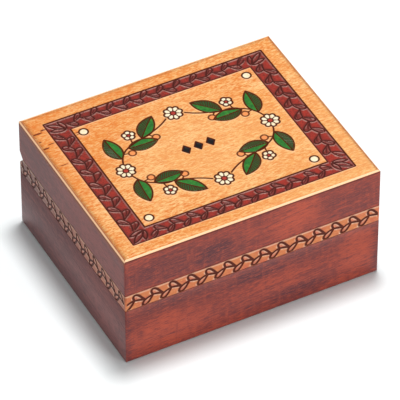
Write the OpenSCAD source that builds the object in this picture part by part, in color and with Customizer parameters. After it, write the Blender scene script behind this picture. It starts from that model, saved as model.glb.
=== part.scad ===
/* [Box] */
// Outer width of the box, left to right
box_w = 190; // [160:1:240]
// Outer depth of the box, front to back
box_d = 156; // [130:1:190]
// Outer height of the closed box
box_h = 91.5; // [80:0.5:110]
// Thickness of the base and lid walls
wall_t = 9; // [8.5:0.5:12]
// Radius of the round-over on the top and bottom outer edges
edge_r = 2; // [1:0.5:3]
// Radius of the upright outer corners
corner_r = 1.2; // [0.6:0.2:2]

/* [Lid] */
// Height of the lid, from the seam to the top
lid_h = 31; // [26:1:36]
// Open seam between the closed lid and the base
seam_gap = 0.3; // [0.2:0.1:0.5]
// Thickness of the top panel
top_t = 8; // [6:0.5:10]
// Width of the wall lip that is left round the top panel
top_lip = 2; // [1.5:0.5:3.5]
// Distance from the left and right edges of the lid to the sunk border
border_side_inset = 12.7; // [8:0.1:16]
// Distance from the front and back edges of the lid to the sunk border
border_front_inset = 11.8; // [8:0.1:16]
// Width of the border along the left and right edges
border_side_w = 14.4; // [8:0.1:18]
// Width of the border along the front and back edges
border_front_w = 12.2; // [8:0.1:18]
// Depth of the carving in the border
border_depth = 0.6; // [0.3:0.1:1.5]
// Outer diameter of the carved ring in each corner of the top
ring_d = 7.2; // [5:0.2:9]
// Width of the ring's groove
ring_w = 0.9; // [0.5:0.1:1.2]
// Distance from the border's inner edges to the middle of a ring
ring_inset = 6.5; // [5:0.5:12]

/* [Base] */
// Thickness of the bottom panel
bottom_t = 5; // [3:0.5:8]
// Width of the step in the walls that the bottom panel sits in
bottom_seat = 4; // [2:0.5:6]
// Height of the light band below the rim
band_h = 13.2; // [8:0.1:16]
// Depth of the V-shaped line under the band
scribe = 0.4; // [0.2:0.1:0.8]

/* [Dividers] */
// Thickness of a divider
divider_t = 4; // [3:0.5:5]
// How far the dividers stop below the rim
divider_drop = 6; // [3:1:20]
// Width of the left and right compartments
side_compartment_w = 54.6; // [45:0.1:60]
// Depth of the front compartments, front to back
front_compartment_d = 66; // [50:1:75]
// Depth of the grooves in the walls that hold the divider ends
groove_depth = 2; // [1:0.5:3]
// Clearance on each side of a glued joint
glue_gap = 0.1; // [0.05:0.05:0.15]

/* [Hinges] */
// Distance from the middle of each hinge to the near end of the box
hinge_inset = 38; // [30:1:50]
// Length of a hinge, along its pin
hinge_l = 26; // [20:1:34]
// Diameter of the hinge barrel
barrel_d = 3; // [2.6:0.2:3.6]
// Diameter of the hinge pin
pin_d = 1.5; // [1.2:0.1:1.6]
// Thickness of a hinge leaf
leaf_t = 0.8; // [0.6:0.1:1]
// Reach of a hinge leaf from the pin into its wall
leaf_reach = 10; // [7:0.5:12]
// Barbs along each short edge of a leaf
barbs = 4; // [2:1:6]
// How far a barb stands out of the leaf's short edge
barb_out = 0.7; // [0.3:0.1:1]
// Clearance round the hinge in the wood
hinge_gap = 0.25; // [0.15:0.05:0.35]
// Radial play of the pin in the knuckle that turns on it
pin_play = 0.05; // [0.03:0.01:0.08]
// Radial play of the pin in the knuckles that hold it
pin_hold = 0.02; // [0.01:0.01:0.03]
// Gap between neighbouring knuckles
knuckle_gap = 0.3; // [0.2:0.05:0.4]
// Depth of the V-shaped notch along the back seam
notch_depth = 5.2; // [4:0.2:5.6]
// Slope of each face of the notch, half the angle that the lid opens to
notch_slope = 48.5; // [45:0.5:52]

/* [Hidden] */

$fn = 48;
// A cut starts and ends this far outside what it cuts
over = 1;

// Heights
base_h = box_h - lid_h - seam_gap;
lid_z = base_h + seam_gap;
pin_z = base_h + seam_gap / 2;

// Inside of the box
inner_w = box_w - 2 * wall_t;
inner_d = box_d - 2 * wall_t;

// Round-overs end at the lip and at the bottom panel's step
top_r = min(edge_r, top_lip);
bottom_r = min(edge_r, wall_t - bottom_seat);

// Dividers, which cross in half-laps
divider_h = base_h - bottom_t - divider_drop;
divider_slot = divider_t + 2 * glue_gap;
half_lap = divider_h / 2;
cross_x = inner_w / 2 - side_compartment_w - divider_t / 2;
long_y = -inner_d / 2 + front_compartment_d + divider_t / 2;

// Rings in the corners of the top
ring_x = box_w / 2 - border_side_inset - border_side_w - ring_inset;
ring_y = box_d / 2 - border_front_inset - border_front_w - ring_inset;

// Hinges: a barb's tip lies at this share of its step
barb_tip = 0.25;
hinge_x = box_w / 2 - hinge_inset;
pin_y = box_d / 2 - notch_depth;
barrel_r = barrel_d / 2;
knuckle_l = (hinge_l - 2 * knuckle_gap) / 3;
pocket_r = barrel_r + hinge_gap;
leaf_start = pocket_r;
kerf_l = hinge_l + 2 * (barb_out + glue_gap);
kerf_reach = leaf_reach + hinge_gap;

light_wood = "sandybrown";
stained_wood = "brown";
plain_wood = "burlywood";
brass = "gold";

// Outline of the box seen from above, with rounded corners
module plan_outline(run, reach) {
    square([run, reach - 2 * corner_r], center = true);
    square([run - 2 * corner_r, reach], center = true);
    for (x = [-1, 1], y = [-1, 1])
        translate([x * (run / 2 - corner_r), y * (reach / 2 - corner_r)])
            circle(r = corner_r);
}

// Keeps what lies in the front wall of a mitred frame, run wide and reach deep
module mitred(run, reach) {
    intersection() {
        children();
        linear_extrude(height = box_h)
            intersection() {
                plan_outline(run, reach);
                polygon([
                    [-run / 2, -reach / 2],
                    [run / 2, -reach / 2],
                    [run / 2 - wall_t, -reach / 2 + wall_t],
                    [-run / 2 + wall_t, -reach / 2 + wall_t],
                ]);
            }
    }
}

// Draws a wall profile along the front: profile x runs inwards from the outer face, y is height
module along_front(run, reach) {
    translate([-run / 2, -reach / 2, 0])
        rotate([90, 0, 90])
            linear_extrude(height = run)
                children();
}

// Turns a wall made at the front to one of the four sides
module to_side(side) {
    turn = side == "front" ? 0 : side == "right" ? 90 : side == "back" ? 180 : -90;
    rotate([0, 0, turn])
        children();
}

function across(side) = side == "front" || side == "back";
function runs(side) = across(side) ? box_w : box_d;
function reaches(side) = across(side) ? box_d : box_w;

// What a round-over of radius r takes off a square corner at the origin
module round_over_waste(r) {
    difference() {
        translate([-over, -over])
            square(r + over);
        translate([r, r])
            circle(r = r);
    }
}

// Section of a base wall, with the step for the bottom panel and the line under the band
module base_profile(banded) {
    difference() {
        square([wall_t, base_h]);
        round_over_waste(bottom_r);
        translate([wall_t - bottom_seat, -over])
            square([bottom_seat + over, bottom_t + over]);
        if (banded)
            translate([0, base_h - band_h])
                polygon([[scribe, 0], [-scribe, 2 * scribe], [-scribe, -2 * scribe]]);
    }
}

// Section of a lid wall, with the step for the top panel
module lid_profile() {
    difference() {
        translate([0, lid_z])
            square([wall_t, lid_h]);
        translate([0, box_h])
            mirror([0, 1])
                round_over_waste(top_r);
        translate([top_lip, box_h - top_t])
            square([wall_t, top_t + over]);
    }
}

// Groove for one end of a divider in the inner face of the front wall, open at the rim
module end_groove(x, reach) {
    translate([x - divider_slot / 2, -reach / 2 + wall_t - groove_depth, bottom_t - over])
        cube([divider_slot, groove_depth + over, base_h]);
}

// The V-shaped notch along the whole back seam, half in the lid and half in the base
module back_notch() {
    reach = notch_depth + over;
    rise = reach * tan(notch_slope);
    translate([-box_w / 2 - over, pin_y, 0])
        rotate([90, 0, 90])
            linear_extrude(height = box_w + 2 * over)
                polygon([[0, base_h], [0, lid_z], [reach, lid_z + rise], [reach, base_h - rise]]);
}

// Room for both hinges, the barrel's pocket and the kerf of one leaf, up or down from the seam
module hinge_room(up) {
    for (side = [-1, 1])
        translate([side * hinge_x, pin_y, pin_z]) {
            rotate([0, 90, 0])
                cylinder(r = pocket_r, h = hinge_l + 2 * hinge_gap, center = true);
            translate([-kerf_l / 2, -barrel_r - glue_gap, up ? 0 : -kerf_reach])
                cube([kerf_l, leaf_t + 2 * glue_gap, kerf_reach]);
        }
}

module base_wall(side) {
    run = runs(side);
    reach = reaches(side);
    grooves = across(side) ? [-cross_x, cross_x] : side == "left" ? [-long_y] : [long_y];
    color(stained_wood)
        difference() {
            to_side(side)
                difference() {
                    mitred(run, reach)
                        along_front(run, reach)
                            base_profile(side != "back");
                    for (x = grooves)
                        end_groove(x, reach);
                }
            if (side != "front")
                back_notch();
            if (side == "back")
                hinge_room(false);
        }
}

module lid_wall(side) {
    run = runs(side);
    reach = reaches(side);
    color(stained_wood)
        difference() {
            to_side(side)
                mitred(run, reach)
                    along_front(run, reach)
                        lid_profile();
            if (side != "front")
                back_notch();
            if (side == "back")
                hinge_room(true);
        }
}

module bottom_panel() {
    play = 2 * (wall_t - bottom_seat + glue_gap);
    color(plain_wood)
        translate([0, 0, bottom_t / 2])
            cube([box_w - play, box_d - play, bottom_t], center = true);
}

// Rectangle that leaves these insets to the lid's sides and to its front and back
module inset_rectangle(side_inset, front_inset) {
    square([box_w - 2 * side_inset, box_d - 2 * front_inset], center = true);
}

// The sunk border and the four corner rings, seen from above
module top_carving_plan() {
    difference() {
        inset_rectangle(border_side_inset, border_front_inset);
        inset_rectangle(border_side_inset + border_side_w, border_front_inset + border_front_w);
    }
    for (x = [-ring_x, ring_x], y = [-ring_y, ring_y])
        translate([x, y])
            difference() {
                circle(d = ring_d);
                circle(d = ring_d - 2 * ring_w);
            }
}

module lid_top_panel() {
    play = 2 * (top_lip + glue_gap);
    color(light_wood)
        difference() {
            translate([0, 0, box_h - top_t / 2])
                cube([box_w - play, box_d - play, top_t], center = true);
            translate([0, 0, box_h - border_depth])
                linear_extrude(height = border_depth + over)
                    top_carving_plan();
        }
}

// A divider on edge along X, with a rounded top edge
module divider_board(l) {
    straight_h = divider_h - divider_t / 2;
    translate([0, 0, bottom_t]) {
        translate([-l / 2, -divider_t / 2, 0])
            cube([l, divider_t, straight_h]);
        translate([0, 0, straight_h])
            rotate([0, 90, 0])
                cylinder(d = divider_t, h = l, center = true);
    }
}

// Length of a divider between two walls whose inner faces are this far apart
function divider_l(inner) = inner + 2 * (groove_depth - glue_gap);

module long_divider() {
    color(plain_wood)
        translate([0, long_y, 0])
            difference() {
                divider_board(divider_l(inner_w));
                for (x = [-cross_x, cross_x])
                    translate([x - divider_slot / 2, -divider_t, bottom_t + half_lap])
                        cube([divider_slot, 2 * divider_t, half_lap + over]);
            }
}

module cross_divider(side) {
    color(plain_wood)
        translate([side * cross_x, 0, 0])
            rotate([0, 0, 90])
                difference() {
                    divider_board(divider_l(inner_d));
                    translate([long_y - divider_slot / 2, -divider_t, bottom_t - over])
                        cube([divider_slot, 2 * divider_t, half_lap + over]);
                }
}

// Barbed plate of a hinge leaf in the XZ plane, standing up from the barrel
module leaf_plate() {
    step = (leaf_reach - leaf_start) / barbs;
    half = hinge_l / 2;
    right = [for (i = [0:barbs - 1]) for (p = [[half, i], [half + barb_out, i + barb_tip]])
        [p[0], leaf_start + p[1] * step]];
    top_right = [half, leaf_reach];
    outline = concat(right, [top_right], [for (k = [len(right):-1:0])
        let (p = k == len(right) ? top_right : right[k])
            [-p[0], p[1]]]);
    translate([0, -barrel_r + leaf_t, 0])
        rotate([90, 0, 0])
            linear_extrude(height = leaf_t)
                polygon(outline);
}

// One knuckle of the barrel from x0 to x1, and the tongue that joins it to a plate above
module knuckle(x0, x1) {
    translate([x0, 0, 0])
        rotate([0, 90, 0])
            cylinder(r = barrel_r, h = x1 - x0);
    translate([x0, -barrel_r, 0])
        cube([x1 - x0, leaf_t, leaf_start + leaf_t]);
}

module knuckle_bore(play) {
    rotate([0, 90, 0])
        cylinder(r = pin_d / 2 + play, h = hinge_l + 2 * over, center = true);
}

// Moves a hinge part from its pin's middle to the left or right hinge
module at_hinge(side) {
    translate([side * hinge_x, pin_y, pin_z])
        children();
}

// The upper leaf has the middle knuckle
module hinge_lid_leaf(side) {
    color(brass)
        at_hinge(side)
            difference() {
                union() {
                    leaf_plate();
                    knuckle(-knuckle_l / 2, knuckle_l / 2);
                }
                knuckle_bore(pin_play);
            }
}

// The lower leaf is upside down and has the two end knuckles
module hinge_base_leaf(side) {
    color(brass)
        at_hinge(side)
            mirror([0, 0, 1])
                difference() {
                    union() {
                        leaf_plate();
                        knuckle(-hinge_l / 2, -hinge_l / 2 + knuckle_l);
                        knuckle(hinge_l / 2 - knuckle_l, hinge_l / 2);
                    }
                    knuckle_bore(pin_hold);
                }
}

module hinge_pin(side) {
    color(brass)
        at_hinge(side)
            rotate([0, 90, 0])
                cylinder(d = pin_d, h = hinge_l, center = true);
}

bottom_panel();
base_wall("front");  // base_front_wall
base_wall("back");  // base_back_wall
base_wall("left");  // base_left_wall
base_wall("right");  // base_right_wall
long_divider();
cross_divider(-1);  // left_cross_divider
cross_divider(1);  // right_cross_divider
hinge_base_leaf(-1);  // left_hinge_base_leaf
hinge_base_leaf(1);  // right_hinge_base_leaf
hinge_pin(-1);  // left_hinge_pin
hinge_pin(1);  // right_hinge_pin
lid_top_panel();
lid_wall("front");  // lid_front_wall
lid_wall("back");  // lid_back_wall
lid_wall("left");  // lid_left_wall
lid_wall("right");  // lid_right_wall
hinge_lid_leaf(-1);  // left_hinge_lid_leaf
hinge_lid_leaf(1);  // right_hinge_lid_leaf
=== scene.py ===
import functools
import math

import bmesh
import bpy
import numpy as np
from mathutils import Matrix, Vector, kdtree
from mathutils.geometry import delaunay_2d_cdt


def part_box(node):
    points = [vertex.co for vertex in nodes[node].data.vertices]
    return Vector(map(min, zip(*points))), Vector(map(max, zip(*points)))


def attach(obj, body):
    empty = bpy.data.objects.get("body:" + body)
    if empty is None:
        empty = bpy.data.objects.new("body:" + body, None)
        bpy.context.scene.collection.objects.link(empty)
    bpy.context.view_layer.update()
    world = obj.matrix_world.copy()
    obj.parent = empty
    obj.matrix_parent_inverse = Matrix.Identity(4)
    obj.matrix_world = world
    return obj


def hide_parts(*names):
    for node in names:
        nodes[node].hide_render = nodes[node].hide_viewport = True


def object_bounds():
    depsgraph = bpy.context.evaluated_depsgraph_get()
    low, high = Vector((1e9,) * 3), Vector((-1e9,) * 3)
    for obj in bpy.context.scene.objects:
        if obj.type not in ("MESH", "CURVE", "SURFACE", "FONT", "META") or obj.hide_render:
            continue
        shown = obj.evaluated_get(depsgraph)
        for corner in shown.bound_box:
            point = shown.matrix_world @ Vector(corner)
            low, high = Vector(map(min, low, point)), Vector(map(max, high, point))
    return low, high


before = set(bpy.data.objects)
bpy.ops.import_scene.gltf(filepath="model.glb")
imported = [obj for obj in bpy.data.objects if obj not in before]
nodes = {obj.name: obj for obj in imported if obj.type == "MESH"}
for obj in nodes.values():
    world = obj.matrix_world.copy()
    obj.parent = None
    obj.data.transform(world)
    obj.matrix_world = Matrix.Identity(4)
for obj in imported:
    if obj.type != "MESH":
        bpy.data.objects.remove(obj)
cad_low, cad_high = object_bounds()

MM = 0.001

# Sizes of the box, in millimetres
BOX_W, BOX_D, BOX_H = ((cad_high - cad_low) / MM)[:]
RIM_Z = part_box("base_front_wall")[1].z / MM
LID_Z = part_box("lid_front_wall")[0].z / MM
PANEL_W, PANEL_D = ((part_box("lid_top_panel")[1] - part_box("lid_top_panel")[0]) / MM)[:2]
CORNER_R = 1.2

# How deep the stain reaches: from the sides, and from the front and back, with the back's notch
SIDE_STAIN_REACH = 2
BACK_STAIN_REACH = 5.25

# How far below the top the stain ends: at the front and back, and at the sides
LID_STAIN_DROP = 0.7
LID_END_STAIN_DROP = 1.3

# The light band under the rim
BAND_H = 13.2
BAND_LINE = 0.4

# The border sunk in the top
BORDER_SIDE_INSET, BORDER_FRONT_INSET = 12.7, 11.8
BORDER_SIDE_W, BORDER_FRONT_W = 14.4, 12.2
BORDER_OUT_X = BOX_W / 2 - BORDER_SIDE_INSET
BORDER_OUT_Y = BOX_D / 2 - BORDER_FRONT_INSET
BORDER_IN_X = BORDER_OUT_X - BORDER_SIDE_W
BORDER_IN_Y = BORDER_OUT_Y - BORDER_FRONT_W
BORDER_GROUND = 0.4

# The painted rings in the top's corners
RING_R = 3.1
RING_INSET = 6.5

# How finely the carving is meshed: the step along a groove, the way from its edge to the next
# points, the least way between points, and the fill's spacing on the top and on the walls
LINE_STEP = 0.42
HALO = 0.3
NEAREST = 0.16
TOP_PITCH = 3.0
BAND_PITCH = 2.4

# The step along a groove at which its distance is measured
SAMPLE_STEP = 0.12

# Edges sharper than this stay sharp in a carved copy
SHARP_ANGLE = math.radians(38)

# The way of meshing that leaves out what lies beyond the face's own edges
INSIDE_EDGES = 1

# Where the scorch of a groove ends, in shares of its half width, and how softly
BURN_EDGE = 1.5
BURN_SOFT = 0.35

# The painted highlight beside a groove, on its front and left side: its share of the half width,
# and its reach
HIGHLIGHT_SIDE = np.array([-0.45, -0.89])
HIGHLIGHT_AT = 1.7
HIGHLIGHT_REACH = 0.8

# How far from a groove the open ground between grooves starts, and over what length it grows
OPEN_FROM = 0.7
OPEN_OVER = 1.3


# Curves, in millimetres on a flat face

def bezier(start, pull_a, pull_b, end):
    """Points on the cubic curve with these four control points."""
    p = [np.array(q, float) for q in (start, pull_a, pull_b, end)]
    reach = sum(np.linalg.norm(b - a) for a, b in zip(p, p[1:]))
    t = np.linspace(0, 1, max(3, round(reach / LINE_STEP)) + 1)[:, None]
    s = 1 - t
    return s**3 * p[0] + 3 * s * s * t * p[1] + 3 * s * t * t * p[2] + t**3 * p[3]


def joined(*stretches):
    """One line through several stretches that follow each other."""
    return np.vstack([stretches[0]] + [s[1:] for s in stretches[1:]])


def straight(a, b):
    """Points on the line from a to b."""
    a, b = np.array(a, float), np.array(b, float)
    t = np.linspace(0, 1, max(1, math.ceil(np.linalg.norm(b - a) / LINE_STEP)) + 1)[:, None]
    return a + (b - a) * t


def loop_through(corners):
    """A closed line with straight sides through these corners."""
    return joined(*[straight(a, b) for a, b in zip(corners, corners[1:] + corners[:1])])


def polar(centre, radius_at):
    """A closed curve round a centre, whose radius is a function of the angle."""
    rough = radius_at(np.linspace(0, 2 * math.pi, 60)).max()
    count = max(12, round(2 * math.pi * rough / LINE_STEP))
    a = np.linspace(0, 2 * math.pi, count + 1)
    r = radius_at(a)
    return np.array(centre) + np.stack([r * np.cos(a), r * np.sin(a)], 1)


def circle(centre, radius):
    return polar(centre, lambda a: np.full_like(a, radius))


def turned(points, angle, at):
    """Points turned by an angle about the origin and moved to a place."""
    c, s = math.cos(angle), math.sin(angle)
    return np.asarray(points, float) @ np.array([[c, s], [-s, c]]) + np.array(at)


def resampled(points, step):
    """The same line with evenly spaced points."""
    leg = np.linalg.norm(np.diff(points, axis=0), axis=1)
    far = np.concatenate([[0], np.cumsum(leg)])
    if far[-1] < 1e-6:
        return points[:1]
    at = np.linspace(0, far[-1], max(2, math.ceil(far[-1] / step)) + 1)
    return np.stack([np.interp(at, far, points[:, k]) for k in (0, 1)], 1)


def side_offset(points, gap):
    """A line beside another, gap to its left."""
    along = np.gradient(points, axis=0)
    along /= np.maximum(np.linalg.norm(along, axis=1), 1e-9)[:, None]
    return points + gap * np.stack([-along[:, 1], along[:, 0]], 1)


def inside(points, outline):
    """Which points lie in a closed outline."""
    x, y = points[:, 0], points[:, 1]
    found = np.zeros(len(points), bool)
    near = np.nonzero(
        (x >= outline[:, 0].min()) & (x <= outline[:, 0].max())
        & (y >= outline[:, 1].min()) & (y <= outline[:, 1].max())
    )[0]
    if not len(near):
        return found
    px, py = x[near][:, None], y[near][:, None]
    ax, ay = outline[:, 0], outline[:, 1]
    bx, by = np.roll(ax, -1), np.roll(ay, -1)
    spans = (ay > py) != (by > py)
    cross = ax + (py - ay) * (bx - ax) / np.where(by == ay, 1e-12, by - ay)
    found[near] = (spans & (px < cross)).sum(1) % 2 == 1
    return found


def fill_points(low, high, fine, finer):
    """Staggered rows of points, fine apart where finer() says so, and else three times that."""
    row_gap = fine * 0.87
    rows = []
    for k, y in enumerate(np.arange(low[1] + fine, high[1] - fine / 2, row_gap)):
        xs = np.arange(low[0] + fine * (1 + k % 2 / 2), high[0] - fine / 2, fine)
        rows.append(np.stack([xs, np.full_like(xs, y)], 1))
    fill = np.vstack(rows)
    column = np.round((fill[:, 0] - low[0]) / fine).astype(int)
    row = np.round((fill[:, 1] - low[1]) / row_gap).astype(int)
    sparse = (column % 3 == 0) & (row % 3 == 0)
    return fill[sparse | finer(fill)]


class Carving:
    """Grooves and painted areas on one flat face, in millimetres from the face's middle."""

    def __init__(self):
        self.lines = []
        self.areas = []

    def groove(self, points, width, depth, burn=1.0, taper=0.0):
        """A groove with a V-shaped section and a scorched floor, narrower at its ends by taper."""
        self.lines.append((np.asarray(points, float), width, depth, burn, taper))

    def area(self, outline, paint, edge=0.0, middle=0.0, swell=1.8):
        """An area with a paint. It goes from edge high at a groove to middle high, swell away."""
        self.areas.append((np.asarray(outline, float), paint, edge, middle, swell))

    def paints(self):
        return {"burn", "lip", "open", *(area[1] for area in self.areas)}

    def mesh_points(self, low, high, pitch, finer):
        """Points that follow the grooves, and fill the face between low and high.

        pitch is the spacing of the fill, and finer(points) says where it is a third of that.
        """
        wanted = []
        for points, width, *_ in self.lines:
            even = resampled(points, LINE_STEP)
            wanted.append(even)
            if len(even) > 2:
                for gap in (width / 2, width / 2 + HALO):
                    wanted += [side_offset(even, gap), side_offset(even, -gap)]
        fine = pitch / 3
        taken = {}
        kept = []

        def keep(points, gap):
            for p in points:
                if not (low[0] + NEAREST < p[0] < high[0] - NEAREST
                        and low[1] + NEAREST < p[1] < high[1] - NEAREST):
                    continue
                i, j = math.floor(p[0]), math.floor(p[1])
                near = (q for a in (i - 1, i, i + 1) for b in (j - 1, j, j + 1)
                        for q in taken.get((a, b), ()))
                if any((p[0] - q[0]) ** 2 + (p[1] - q[1]) ** 2 < gap * gap for q in near):
                    continue
                taken.setdefault((i, j), []).append(p)
                kept.append(p)

        for points in wanted:
            keep(points, NEAREST)
        keep(fill_points(low, high, fine, finer), 0.55 * fine)
        return np.array(kept)

    def surface(self, points, ground=None):
        """Height and colour shares at these points, as a dict of arrays."""
        samples, widths, depths, burns = [], [], [], []
        for line, width, depth, burn, taper in self.lines:
            even = resampled(line, SAMPLE_STEP)
            swelling = np.sqrt(np.sin(math.pi * np.linspace(0.02, 0.98, len(even))))
            narrowing = 1 - taper * (1 - swelling)
            samples.append(even)
            widths.append(width * narrowing)
            depths.append(depth * narrowing)
            burns.append(np.full(len(even), burn))
        samples, widths, depths, burns = map(np.concatenate, (samples, widths, depths, burns))
        tree = kdtree.KDTree(len(samples))
        for n, (x, y) in enumerate(samples):
            tree.insert((x, y, 0), n)
        tree.balance()
        away = np.empty(len(points))
        which = np.empty(len(points), int)
        for n, (x, y) in enumerate(points):
            _, which[n], away[n] = tree.find((x, y, 0))
        share = away / (widths[which] / 2)
        shares = {"burn": burns[which] * np.clip((BURN_EDGE - share) / BURN_SOFT, 0, 1)}
        # A painted highlight beside each groove, on the side that faces front and left
        lit = (points - samples[which]) @ HIGHLIGHT_SIDE / np.maximum(away, 1e-6)
        lip = np.clip(1 - np.abs(share - HIGHLIGHT_AT) / HIGHLIGHT_REACH, 0, 1)
        shares["lip"] = burns[which] * lip * np.clip(lit * 1.5 - 0.2, 0, 1)
        shares["open"] = np.clip((away - OPEN_FROM) / OPEN_OVER, 0, 1)
        height = np.zeros(len(points)) if ground is None else ground(points)
        for outline, paint, edge, middle, swell in self.areas:
            there = inside(points, outline)
            shares.setdefault(paint, np.zeros(len(points)))[there] = 1.0
            t = np.clip(1 - away[there] / swell, 0, 1)
            height[there] += middle + (edge - middle) * t * t
        height -= depths[which] * np.clip(1 - share, 0, 1)
        shares["height"] = np.minimum(height, 0)
        return shares


def opened_rim(bm, flat, pitch):
    """Deletes the faces that flat() picks, and returns the rim's edges, cut to pitch."""
    picked = [f for f in bm.faces if flat(f.calc_center_median(), f.normal)]
    bmesh.ops.delete(bm, geom=picked, context="FACES")
    for edge in [e for e in bm.edges if e.is_boundary]:
        cuts = round(edge.calc_length() / MM / pitch) - 1
        if cuts > 0:
            bmesh.ops.subdivide_edges(bm, edges=[edge], cuts=cuts)
    return [e for e in bm.edges if e.is_boundary]


def carved_copy(name, node, flat, to_plan, to_space, carving, pitch, finer, ground=None):
    """A copy of a CAD node's mesh in which the rectangle of faces that flat() picks is carved.

    flat(centre, normal) says which faces go. to_plan turns a point in space into the face's
    own millimetres, and to_space does the reverse for a plan point and a height.
    """
    bm = bmesh.new()
    bm.from_mesh(nodes[node].data)
    layers = {key: bm.verts.layers.float.new(key) for key in carving.paints()}
    bmesh.ops.remove_doubles(bm, verts=bm.verts, dist=1e-6)
    bm.normal_update()
    rim_edges = opened_rim(bm, flat, pitch)
    rim = sorted({v for e in rim_edges for v in e.verts}, key=lambda v: v.index)
    place = {v: k for k, v in enumerate(rim)}
    rim_plan = np.array([to_plan(v.co) for v in rim])
    low, high = rim_plan.min(0), rim_plan.max(0)
    plan = np.vstack([rim_plan, carving.mesh_points(low, high, pitch, finer)])
    edges = [(place[e.verts[0]], place[e.verts[1]]) for e in rim_edges]
    made, _, faces, origins, _, _ = delaunay_2d_cdt(
        [Vector(p) for p in plan], edges, [], INSIDE_EDGES, 1e-6)
    made = np.array([p[:] for p in made])
    shares = carving.surface(made, ground)
    height = shares.pop("height")
    rim_of = {k: rim[o] for k, group in enumerate(origins) for o in group if o < len(rim)}
    for k in rim_of:
        height[k] = 0
    used = {k for face in faces for k in face}
    verts = {k: rim_of.get(k) or bm.verts.new(to_space(made[k], height[k])) for k in sorted(used)}
    for face in faces:
        bm.faces.new([verts[k] for k in face])
    bmesh.ops.recalc_face_normals(bm, faces=bm.faces)
    for key in layers:
        layer = bm.verts.layers.float[key]
        for k, vert in verts.items():
            vert[layer] = float(shares[key][k])
    mesh = bpy.data.meshes.new(name)
    bm.to_mesh(mesh)
    bm.free()
    mesh.polygons.foreach_set("use_smooth", [True] * len(mesh.polygons))
    mesh.set_sharp_from_angle(angle=SHARP_ANGLE)
    obj = bpy.data.objects.new(name, mesh)
    bpy.context.scene.collection.objects.link(obj)
    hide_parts(node)
    return obj


# Ornament shapes

def almond(base, tip, width, lean=0.0):
    """The two sides of a pointed leaf. lean moves its belly sideways."""
    base, tip = np.array(base, float), np.array(tip, float)
    axis = tip - base
    across = np.array([-axis[1], axis[0]]) / np.linalg.norm(axis)
    sides = []
    for side in (1, -1):
        pull = across * (side * width * 0.67 + lean)
        sides.append(bezier(base, base + axis * 0.22 + pull, base + axis * 0.68 + pull, tip))
    return sides


def closed(sides):
    """One closed outline from two sides that both run from the same start to the same end."""
    return np.vstack([sides[0], sides[1][::-1]])


# How far the vine stays from its band's ends
VINE_END_GAP = 0.4

# One repeat of the running vine, as shares of its pitch and of its band's width
VINE_NODE = (0.0, 0.03)
VINE_TIP = (0.57, -0.12)
VINE_UPPER = [
    [VINE_NODE, (-0.04, 0.12), (-0.11, 0.26), (-0.06, 0.34)],
    [(-0.06, 0.34), (-0.02, 0.42), (0.12, 0.43), (0.25, 0.28)],
    [(0.25, 0.28), (0.38, 0.13), (0.46, 0.0), VINE_TIP],
]
VINE_UPPER_BACK = [VINE_NODE, (0.16, 0.02), (0.36, -0.02), VINE_TIP]
VINE_LOWER = [
    [VINE_NODE, (-0.16, 0.01), (-0.30, -0.06), (-0.42, -0.14)],
    [(-0.42, -0.14), (-0.52, -0.21), (-0.58, -0.35), (-0.52, -0.43)],
    [(-0.52, -0.43), (-0.46, -0.50), (-0.35, -0.48), (-0.26, -0.39)],
    [(-0.26, -0.39), (-0.14, -0.26), (-0.05, -0.10), VINE_NODE],
]
VINE_VEINS = [
    [(0.02, 0.22), (0.14, 0.23), (0.30, 0.13), (0.42, 0.01)],
    [(-0.40, -0.34), (-0.30, -0.26), (-0.20, -0.16), (-0.13, -0.08)],
]


def vine(carving, start, end, width, pitch, first, line, depth, slip, rise=0.0):
    """A vine from start to end in a band, its upper leaves to the left.

    pitch is the length of a repeat, first the way from start to the first node, and slip how
    far the carver's hand strays. A vine whose leaves rise has veins too.
    """
    start, end = np.array(start, float), np.array(end, float)
    length = np.linalg.norm(end - start)
    way = (end - start) / length
    angle = math.atan2(way[1], way[0])
    hand = np.random.default_rng(round(length))

    def placed(k, points, astray):
        local = [(first + (k + u) * pitch, v * width) for u, v in points]
        return turned(np.array(local) + astray, angle, start)

    def runs(points):
        """The stretches of a line that lie between the band's ends."""
        along = (points - start) @ way
        kept = (along > VINE_END_GAP) & (along < length - VINE_END_GAP)
        cuts = np.nonzero(np.diff(kept))[0] + 1
        pieces = zip(np.split(points, cuts), np.split(kept, cuts))
        return [piece for piece, keep in pieces if keep[0] and len(piece) > 3]

    for k in range(math.ceil((length - first) / pitch)):
        slips = hand.normal(0, slip, (3, 2))
        upper = joined(*[bezier(*placed(k, c, slips[0])) for c in VINE_UPPER])
        back = bezier(*placed(k, VINE_UPPER_BACK, slips[0]))
        lower = joined(*[bezier(*placed(k, c, slips[1])) for c in VINE_LOWER])
        for points in (upper, back, lower):
            for run in runs(points):
                carving.groove(run, line, depth, taper=0.25)
        for outline in (closed([upper, back]), lower):
            if len(runs(outline)) == 1:
                carving.area(runs(outline)[0], "relief", 0, rise)
        for vein in VINE_VEINS if rise else ():
            for run in runs(bezier(*placed(k, vein, slips[2]))):
                carving.groove(run, 0.6, 0.2, 0.8, taper=0.5)


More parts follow.
